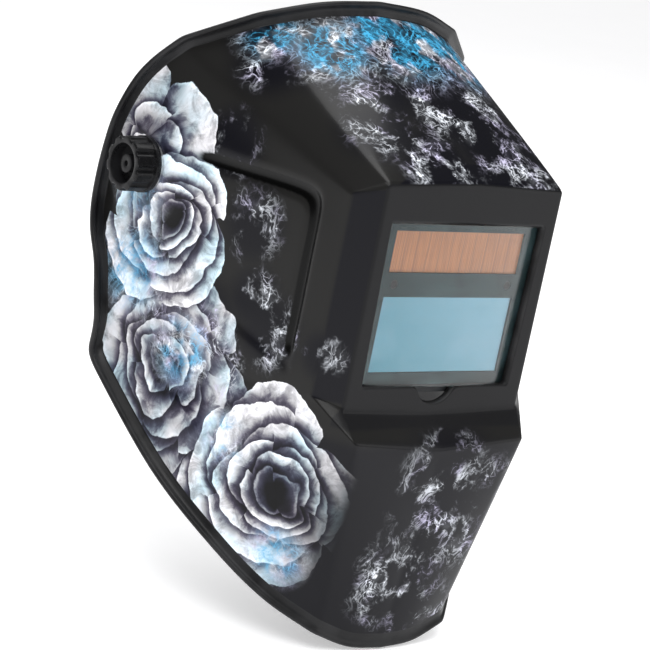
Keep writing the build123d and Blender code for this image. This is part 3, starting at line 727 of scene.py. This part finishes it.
def petal_colour(g, left, tone):
    """White petals, bluer in places and violet where they darken."""
    shade = g.noise(30, left, detail=3.0, shift=70).step(0.38, 0.66)
    cold = g.mix(shade, (0.93, 0.92, 0.96), (0.66, 0.86, 0.97))
    colour = g.mix(1.0, g.join(tone, tone, tone), cold, "MULTIPLY")
    deep = g.mix(tone.step(0.02, 0.45), (0.35, 0.30, 0.50), (1, 1, 1))
    return g.mix(1.0, colour, deep, "MULTIPLY")


def smoke_layer(g, left, kept_clear):
    """How thick the smoke is at each point, and its colour."""
    threads = strands(g, 34, 3, 17, 8.0) + strands(g, 17, 55, 9, 9.0)
    threads = threads + (wisps(g, 15, 21, 17) ** 2.0) * 0.45
    haze = wisps(g, 34, 3, 5.0) ** 2.0
    patches = g.noise(20, detail=4.0, roughness=0.6, shift=23).step(0.46, 0.62)
    blue = region(g, g.place, BLUE_SMOKE)
    white = region(g, g.place, WHITE_SMOKE)
    cheek = region(g, left, CHEEK_SMOKE)
    glow = region(g, left, GLOW_SMOKE)
    amount = ((white * 1.3).max(cheek) * patches).max(blue)
    smoke = (threads * 1.3 + haze * (0.05 + blue * 0.30)) * amount
    smoke = smoke * (1.0 - kept_clear * 0.85)
    smoke = smoke + (threads * 0.8 + haze * 0.6) * glow * 0.8

    tint = (blue * 1.1).max(glow * 0.9) * g.noise(16, detail=3.0, shift=31).step(0.38, 0.52)
    lilac = g.noise(20, detail=2.0, shift=77).step(0.42, 0.62)
    pale = g.mix(lilac, (0.86, 0.90, 0.97), (0.60, 0.57, 0.76))
    return smoke.min(1.0).max(0.0), g.mix(tint.min(1.0), pale, (0.05, 0.36, 0.62))


def print_finish():
    """Glossy lacquer over a dark ground with white roses and blue and white smoke."""
    g = Graph("shell_print", Specular_IOR_Level=0.13, Coat_Weight=0.12, Coat_Roughness=0.14)
    # Both cheeks carry the same print, so it is painted for the left one and folded over.
    left = g.join(g.x.size() * -1.0, g.y, g.z)
    tone, cover, kept_clear = painted_roses(g, left)
    ground = ground_colour(g, left)
    colour = g.mix(cover, ground, petal_colour(g, left, tone))
    smoke, smoke_colour = smoke_layer(g, left, kept_clear)
    colour = g.mix(smoke, colour, smoke_colour)
    # Painted shade: the groove along the recess's top and front is coloured near-black.
    colour = g.mix(g.attribute("groove").step(0.05, 0.4), colour, GROOVE_SHADE_COLOUR)
    plain = (g.y - PLAIN_BACK_Y).step(0.3, -0.3) * (g.z - PLAIN_LOW_Z).step(-1.0, 1.0)
    g.set("Base Color", g.mix(plain, colour, PANEL_BLACK))
    grain = g.noise(0.7, detail=2.0)
    g.set("Roughness", plain.step(0, 1, 0.32, 0.44) + (grain - 0.5) * 0.06)
    g.bump(grain + g.noise(38, detail=1.0) * 0.4, 0.02, 0.35)
    return g.material


# ---- plainer finishes --------------------------------------------------------------------
def plastic(name, colour, roughness, grain=0.9, depth=0.03):
    """Moulded plastic: spark-eroded grain, faint flow marks, and a little rubbing wear."""
    g = Graph(name, Specular_IOR_Level=0.2)
    texture = g.noise(grain, detail=3.0, roughness=0.6)
    flow = g.noise(28, detail=3.0, distortion=0.8, shift=9)
    scuffs = g.noise(9, g.warped(6, 14), detail=6.0, roughness=0.7, shift=31).step(0.56, 0.74)
    light = tuple(min(1.0, c * 1.35 + 0.006) for c in colour)
    dark = tuple(c * 0.65 for c in colour)
    g.set("Base Color", g.mix(flow.step(0.3, 0.7), dark, light))
    rough = flow.step(0.3, 0.7, roughness - 0.05, roughness + 0.05)
    g.set("Roughness", rough + (texture - 0.5) * 0.12 + scuffs * 0.12)
    g.bump(texture, depth, 0.5)
    return g.material


def metal(name, colour, roughness, direction=(1.0, 1.0, 0.08)):
    """Plated or bright metal with fine drawn lines, stains and handling marks."""
    g = Graph(name, Metallic=1.0)
    lines = g.noise(0.5, g.vector("MULTIPLY", g.place, direction), detail=3.0, roughness=0.7)
    stain = g.noise(6, detail=4.0, shift=13).step(0.4, 0.75)
    dull = tuple(c * 0.62 for c in colour)
    g.set("Base Color", g.mix(stain * 0.6, colour, dull))
    g.set("Roughness", stain.step(0, 1, roughness, roughness + 0.2) + (lines - 0.5) * 0.16)
    g.bump(lines, 0.02, 0.5)
    return g.material


def lens_finish():
    """Clear polycarbonate with a few faint wipe marks."""
    g = Graph("clear_polycarbonate", Transmission_Weight=1.0, IOR=1.35, Specular_IOR_Level=0.35)
    wipes = g.noise(5, g.vector("MULTIPLY", g.place, (0.2, 1.0, 1.0)), detail=5.0, shift=4)
    g.set("Base Color", g.mix(wipes.step(0.5, 0.8), (0.99, 1.0, 1.0), (0.93, 0.96, 0.97)))
    g.set("Roughness", wipes.step(0.52, 0.85, 0.0, 0.02))
    return g.material


def filter_finish():
    """The filter's mirror-like coating: blue-green, with a painted reflection that makes it paler
    towards the upper right.
    """
    g = Graph("filter_coating", Metallic=0.35, Coat_Weight=1.0, Coat_Roughness=0.03)
    # Painted reflection: the coating grows paler towards the upper right.
    across = (g.x * 0.7 + (g.z + 52.5) * 0.9 + g.noise(60, detail=2.0) * 16 - 8).step(-60, 52)
    ring = g.noise(30, detail=2.0, shift=60).step(0.45, 0.7, 0.0, 0.3)
    base = g.mix(across, (0.03, 0.28, 0.39), (0.18, 0.44, 0.58))
    g.set("Base Color", g.mix(ring, base, (0.24, 0.47, 0.62)))
    g.set("Roughness", g.noise(14, detail=4.0, shift=8).step(0.3, 0.8, 0.30, 0.38))
    return g.material


def solar_finish():
    """Amorphous silicon film: coppery strips parted by fine scribed lines."""
    g = Graph("solar_film", Coat_Weight=0.6, Coat_Roughness=0.05)
    cells = (g.x / 8.2 + 0.5).fraction()
    scribe = (cells - 0.5).size().step(0.47, 0.49)
    strip = (g.x / 1.15).fraction()
    hair = (strip - 0.5).size().step(0.30, 0.48)
    stretched = g.vector("MULTIPLY", g.place, (1.0, 1.0, 0.04))
    streaks = g.noise(0.9, stretched, detail=3.0).step(0.3, 0.7)
    copper = g.mix(streaks, (0.50, 0.15, 0.03), (0.68, 0.23, 0.06))
    copper = g.mix(hair * 0.6, copper, (0.95, 0.48, 0.18))
    g.set("Base Color", g.mix(scribe * 0.8, copper, (0.30, 0.11, 0.04)))
    g.set("Roughness", streaks.step(0, 1, 0.30, 0.44))
    g.bump(hair + scribe * 0.5, 0.02, 0.3)
    return g.material


def board_finish():
    """Green laminate with copper tracks under its lacquer and a woven glass ground."""
    g = Graph("circuit_laminate", Coat_Weight=0.5, Coat_Roughness=0.2)
    tracks = g.cell_borders(3.2, g.vector("MULTIPLY", g.place, (1.0, 0.0, 1.0)))
    line = tracks.step(0.10, 0.05)
    weave = g.noise(0.6, g.vector("MULTIPLY", g.place, (1.0, 1.0, 0.2)), detail=2.0)
    ground = g.mix(weave, (0.01, 0.11, 0.04), (0.02, 0.18, 0.07))
    g.set("Base Color", g.mix(line, ground, (0.06, 0.30, 0.12)))
    g.set("Roughness", weave.step(0.3, 0.7, 0.32, 0.46))
    g.bump(line + weave * 0.3, 0.05, 0.6)
    return g.material


def cloth(name, colour, thread, pile):
    """Woven or looped cloth: crossing threads, fuzz, and slight fading."""
    g = Graph(name, Roughness=0.9, Sheen_Weight=0.4, Sheen_Roughness=0.5)
    warp = (g.x / thread).math("SINE") * 0.5 + 0.5
    up = ((g.z + g.y * 0.35) / thread).math("SINE") * 0.5 + 0.5
    across = ((g.y - g.z * 0.2) / thread).math("SINE") * 0.5 + 0.5
    weave = warp.max(across) * 0.5 + up * 0.5
    fuzz = g.noise(pile, detail=4.0, roughness=0.7)
    faded = g.noise(22, detail=3.0, shift=19).step(0.35, 0.7)
    light = tuple(min(1.0, c * 1.8 + 0.01) for c in colour)
    dark = tuple(c * 0.4 for c in colour)
    base = g.mix(weave * 0.5 + fuzz * 0.5, dark, light)
    g.set("Base Color", g.mix(faded * 0.3, base, light))
    g.set("Roughness", fuzz.step(0.2, 0.8, 0.82, 0.98))
    g.bump(weave * 0.6 + fuzz * 0.6, 0.5, 0.9)
    return g.material


def fibre_finish():
    """Vulcanised fibre: a matt red-brown sheet with short pressed fibres."""
    g = Graph("fibre_washer")
    fibres = g.noise(1.2, g.warped(2, 4), detail=5.0, roughness=0.7, distortion=1.0)
    g.set("Base Color", g.mix(fibres.step(0.3, 0.7), (0.10, 0.025, 0.015), (0.24, 0.07, 0.04)))
    g.set("Roughness", fibres.step(0.3, 0.7, 0.6, 0.8))
    g.bump(fibres, 0.06, 0.6)
    return g.material


def nylon(name, colour):
    """Natural or dyed nylon: slightly translucent, with soft flow marks and tool grain."""
    g = Graph(name, Subsurface_Weight=0.15, Subsurface_Scale=0.002)
    flow = g.noise(7, detail=4.0, distortion=1.0).step(0.3, 0.7)
    grain = g.noise(0.6, detail=2.0)
    dark = tuple(c * 0.8 for c in colour)
    g.set("Base Color", g.mix(flow, dark, colour))
    g.set("Roughness", flow.step(0, 1, 0.35, 0.5))
    g.bump(grain, 0.02, 0.5)
    return g.material


def floor_finish():
    """White paper with a faint mottle and tooth, lifted a little by a glow of its own."""
    g = Graph("studio_floor", Roughness=0.85)
    mottle = g.noise(60, detail=4.0)
    g.set("Base Color", g.mix(mottle, (0.89, 0.89, 0.90), (0.93, 0.93, 0.94)))
    g.set("Emission Color", (1.0, 1.0, 1.0))
    g.set("Emission Strength", 0.22)
    g.bump(g.noise(3, detail=2.0), 0.05, 0.2)
    return g.material


FINISHES = {
    "shell_skin": lambda: plastic("shell_lining", (0.016, 0.016, 0.017), 0.5),
    "clear_lens": lens_finish,
    "frame_plastic": lambda: plastic("frame_plastic", (0.02, 0.021, 0.023), 0.46),
    "zinc_steel": lambda: metal("zinc_steel", (0.62, 0.63, 0.64), 0.28),
    "spring_steel": lambda: metal("spring_steel", (0.42, 0.42, 0.43), 0.24, (0.05, 1, 1)),
    "cartridge_plastic": lambda: plastic("cartridge_plastic", (0.036, 0.072, 0.077), 0.5, 0.6),
    "filter_coating": filter_finish,
    "solar_film": solar_finish,
    "sensor_lens": lambda: plastic("sensor_lens", (0.004, 0.005, 0.008), 0.12, 3.0, 0.005),
    "circuit_laminate": board_finish,
    "cell_steel": lambda: metal("cell_steel", (0.70, 0.70, 0.68), 0.22, (0.1, 1, 1)),
    "dial_plastic": lambda: plastic("dial_plastic", (0.03, 0.03, 0.032), 0.4, 0.7),
    "slider_plastic": lambda: plastic("slider_plastic", (0.022, 0.022, 0.024), 0.4),
    "fibre_washer": fibre_finish,
    "nylon_bush": lambda: nylon("nylon_bush", (0.72, 0.70, 0.64)),
    "knob_plastic": lambda: plastic("knob_plastic", (0.007, 0.007, 0.008), 0.30, 0.8, 0.02),
    "brass_insert": lambda: metal("brass_insert", (0.78, 0.56, 0.25), 0.26),
    "rivet_nylon": lambda: nylon("rivet_nylon", (0.05, 0.05, 0.055)),
    "band_plastic": lambda: plastic("band_plastic", (0.018, 0.018, 0.02), 0.44, 1.1),
    "sweatband_cloth": lambda: cloth("sweatband_cloth", (0.045, 0.048, 0.055), 0.35, 0.9),
    "pad_cloth": lambda: cloth("pad_cloth", (0.035, 0.035, 0.04), 0.28, 0.6),
    "pinion_nylon": lambda: nylon("pinion_nylon", (0.66, 0.65, 0.60)),
    "housing_plastic": lambda: plastic("housing_plastic", (0.02, 0.02, 0.022), 0.45),
    "ratchet_knob_plastic": lambda: plastic("ratchet_knob_plastic", (0.014, 0.014, 0.015), 0.38),
}

# Rounded edges, for the pieces with a grip to be seen: each one's width in millimetres.
WELD_GAP, EDGE_ANGLE, EDGE_SEGMENTS = 0.01, 38, 2
EDGE_WIDTHS = {
    "left_tension_knob": 0.45,
    "right_tension_knob": 0.45,
    "ratchet_knob": 0.5,
}


def finish_nodes():
    """Give every node of the frame the finish of its slot, and round the knobs' edges."""
    finishes = {slot: make() for slot, make in FINISHES.items()}
    for node in nodes.values():
        slot = node.data.materials[0].name
        node.data.materials[0] = finishes[slot]
    for name, width in EDGE_WIDTHS.items():
        piece = nodes[name]
        weld = piece.modifiers.new("weld", "WELD")
        weld.merge_threshold = WELD_GAP * MM
        bevel = piece.modifiers.new("edges", "BEVEL")
        bevel.width = width * MM
        bevel.segments = EDGE_SEGMENTS
        bevel.limit_method = "ANGLE"
        bevel.angle_limit = radians(EDGE_ANGLE)
        bevel.harden_normals = True
        piece.data.shade_smooth()
    return finishes


# ---- soft goods -----------------------------------------------------------------------------
BAND_TILT = 12.5
REAR_CENTRE_Y, FRONT_CENTRE_Y = 20, -18
PAD_STATIONS, PAD_SECTION = 72, 28
PAD_VOXEL, PAD_PRESSURE, PAD_MOVE, SETTLE_FRAMES = 3.0, 4, 1.0, 20
CHANNEL_HALF, CHANNEL_DEPTH = 1.6, 1.3


def tilted(points, tilt=-BAND_TILT):
    """From the headband's own level frame into its tilted place, or back with BAND_TILT."""
    c, s = cos(radians(tilt)), sin(radians(tilt))
    x, y, z = np.moveaxis(np.asarray(points, float), -1, 0)
    return np.stack([x, y * c - z * s, y * s + z * c], axis=-1)


def pad_form(name, radius, thickness, start, end, half_height, centre_y):
    """A closed crescent pad with rounded ends and edges, lying against a round band."""
    rings = []
    for k in range(PAD_STATIONS + 1):
        share = k / PAD_STATIONS
        turn = radians(start + (end - start) * share)
        end_round = np.sqrt(max(0.0, 1 - (2 * share - 1) ** 14))
        ring = []
        for j in range(PAD_SECTION):
            a = 2 * pi * j / PAD_SECTION
            height = half_height * np.sign(sin(a)) * abs(sin(a)) ** 0.5 * (0.25 + 0.75 * end_round)
            push = thickness / 2 * np.sign(cos(a)) * abs(cos(a)) ** 0.6 * (0.2 + 0.8 * end_round)
            r = radius + push
            ring.append((r * sin(turn), centre_y + r * cos(turn), height))
        rings.append(ring)
    points = tilted(rings).reshape(-1, 3)
    faces = grid_faces(PAD_STATIONS + 1, PAD_SECTION)
    first_end = range(PAD_SECTION)
    faces.append(tuple(first_end))
    faces.append(tuple(PAD_STATIONS * PAD_SECTION + j for j in reversed(first_end)))
    return mesh_object(name, points, faces, [])


def settle(pad):
    """Blow the pad up a little as cloth, so that it crowns and pulls in like sewn foam."""
    scene = bpy.context.scene
    remesh = pad.modifiers.new("remesh", "REMESH")
    remesh.mode = "VOXEL"
    remesh.voxel_size = PAD_VOXEL * MM
    evaluated = pad.evaluated_get(bpy.context.evaluated_depsgraph_get())
    pad.data = bpy.data.meshes.new_from_object(evaluated)
    pad.modifiers.clear()
    start = np.array([v.co for v in pad.data.vertices])
    soft = pad.modifiers.new("cloth", "CLOTH")
    soft.settings.use_pressure = True
    soft.settings.uniform_pressure_force = PAD_PRESSURE
    soft.settings.effector_weights.gravity = 0
    for step in range(1, SETTLE_FRAMES + 1):
        scene.frame_set(step)
    evaluated = pad.evaluated_get(bpy.context.evaluated_depsgraph_get())
    settled = np.array([v.co for v in evaluated.data.vertices])
    pad.modifiers.clear()
    scene.frame_set(1)
    moved = settled - start
    length = np.linalg.norm(moved, axis=1, keepdims=True)
    moved *= np.minimum(1, PAD_MOVE * MM / np.maximum(length, 1e-9))
    pad.data.vertices.foreach_set("co", (start + moved).ravel())


def press_channels(pad, turns, radius, centre_y):
    """Press sewn channels across the pad's inner face at the given turns of the band."""
    points = np.array([v.co for v in pad.data.vertices]) / MM
    level = tilted(points, BAND_TILT)
    x, y = level[:, 0], level[:, 1] - centre_y
    reach = np.hypot(x, y)
    angle = np.degrees(np.arctan2(x, y)) % 360
    press = np.zeros(len(points))
    for turn in turns:
        away = np.abs((angle - turn + 180) % 360 - 180) * pi / 180 * radius
        press = np.maximum(press, np.exp(-((away / CHANNEL_HALF) ** 2)))
    press *= CHANNEL_DEPTH * ramp(radius - reach, -0.6, 0.8)
    grow = 1 + press / reach
    level[:, 0] *= grow
    level[:, 1] = centre_y + y * grow
    pad.data.vertices.foreach_set("co", (tilted(level) * MM).ravel())


def make_pad(name, node, finish, slot, turns, **form):
    """A sewn pad on the headband in place of a CAD node, with channels at the given turns."""
    pad = pad_form(name, **form)
    settle(pad)
    subdivide = pad.modifiers.new("smooth", "SUBSURF")
    subdivide.levels = subdivide.render_levels = 1
    evaluated = pad.evaluated_get(bpy.context.evaluated_depsgraph_get())
    pad.data = bpy.data.meshes.new_from_object(evaluated)
    pad.modifiers.clear()
    press_channels(pad, turns, form["radius"], form["centre_y"])
    pad.data.shade_smooth()
    pad.data.materials.clear()
    pad.data.materials.append(finish)
    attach(pad, "headgear")
    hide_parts(node)


# ---- studio ------------------------------------------------------------------------------------
CAMERA_AIM = Vector((-46.8, -99.2, -59.7)) * MM
CAMERA_DISTANCE = 1.55
CAMERA_AZIMUTH, CAMERA_ELEVATION, CAMERA_ROLL = -41.35, 13.63, 11.6
CAMERA_LENS = 160.6
# Lights and floor in metres and watts: each light's name, place, size and power.
LIGHT_AIM = Vector((0, -0.05, -0.05))
LIGHTS = [
    ("key", (-0.9, -0.9, 1.3), (0.9, 0.9), 14),
    ("top", (0.2, -0.1, 1.5), (1.2, 0.8), 12),
    ("fill", (1.3, -1.1, 0.4), (0.8, 1.2), 5),
    ("back", (0.3, 1.5, 0.8), (1.2, 0.8), 8),
]
ROOM_STRENGTH, GLOSS_STRENGTH = 0.8, 0.10
FLOOR_RADIUS, FLOOR_GAP = 6, 0.5 * MM


def make_camera():
    data = bpy.data.cameras.new("camera")
    data.lens = CAMERA_LENS
    data.clip_end = 50
    camera = bpy.data.objects.new("camera", data)
    bpy.context.scene.collection.objects.link(camera)
    a, e, r = (radians(v) for v in (CAMERA_AZIMUTH, CAMERA_ELEVATION, CAMERA_ROLL))
    back = Vector((sin(a) * cos(e), -cos(a) * cos(e), sin(e)))
    level = Vector((cos(a), sin(a), 0))
    upright = back.cross(level)
    right = level * cos(r) + upright * sin(r)
    up = upright * cos(r) - level * sin(r)
    turn = Matrix((right, up, back)).transposed().to_4x4()
    camera.matrix_world = Matrix.Translation(CAMERA_AIM + back * CAMERA_DISTANCE) @ turn
    bpy.context.scene.camera = camera


def area_light(name, place, size, power):
    data = bpy.data.lights.new(name, "AREA")
    data.shape = "RECTANGLE"
    data.size, data.size_y = size
    data.energy = power
    light = bpy.data.objects.new(name, data)
    bpy.context.scene.collection.objects.link(light)
    light.location = place
    light.rotation_mode = "QUATERNION"
    light.rotation_quaternion = (Vector(place) - LIGHT_AIM).to_track_quat("Z", "Y")


def make_world():
    """A white room that lights the part, is seen as pure white, and hardly shows in gloss."""
    world = bpy.data.worlds.new("studio")
    bpy.context.scene.world = world
    world.use_nodes = True
    world_nodes, links = world.node_tree.nodes, world.node_tree.links
    path = world_nodes.new("ShaderNodeLightPath")
    seen = world_nodes["Background"]
    seen.inputs["Color"].default_value = (1, 1, 1, 1)
    seen.inputs["Strength"].default_value = ROOM_STRENGTH
    for ray, strength in (("Is Glossy Ray", GLOSS_STRENGTH), ("Is Camera Ray", 1.0)):
        other = world_nodes.new("ShaderNodeBackground")
        other.inputs["Color"].default_value = (1, 1, 1, 1)
        other.inputs["Strength"].default_value = strength
        choose = world_nodes.new("ShaderNodeMixShader")
        links.new(path.outputs[ray], choose.inputs[0])
        links.new(seen.outputs[0], choose.inputs[1])
        links.new(other.outputs[0], choose.inputs[2])
        seen = choose
    links.new(seen.outputs[0], world_nodes["World Output"].inputs["Surface"])
    bpy.context.scene.view_settings.view_transform = "Standard"


def make_floor():
    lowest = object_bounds()[0].z
    mesh = bpy.data.meshes.new("floor")
    bm = bmesh.new()
    bmesh.ops.create_circle(bm, cap_ends=True, segments=96, radius=FLOOR_RADIUS)
    bm.to_mesh(mesh)
    bm.free()
    floor = bpy.data.objects.new("floor", mesh)
    floor.location = (0, 0, lowest - FLOOR_GAP)
    floor.data.materials.append(floor_finish())
    bpy.context.scene.collection.objects.link(floor)


def main():
    finishes = finish_nodes()
    edge = plastic("shell_edge", (0.012, 0.012, 0.013), 0.36)
    make_shell(print_finish(), edge, finishes["shell_skin"])
    make_pad(
        "brow_sweatband",
        "sweatband",
        finishes["sweatband_cloth"],
        "sweatband_cloth",
        turns=(138, 159, 180, 201, 222),
        radius=77.4,
        thickness=3.4,
        start=119,
        end=241,
        half_height=15.8,
        centre_y=FRONT_CENTRE_Y,
    )
    make_pad(
        "nape_cushion",
        "nape_pad",
        finishes["pad_cloth"],
        "pad_cloth",
        turns=(-13, 0, 13),
        radius=76.3,
        thickness=3.4,
        start=-25,
        end=25,
        half_height=17.8,
        centre_y=REAR_CENTRE_Y,
    )
    make_camera()
    make_world()
    make_floor()
    for light in LIGHTS:
        area_light(*light)


main()
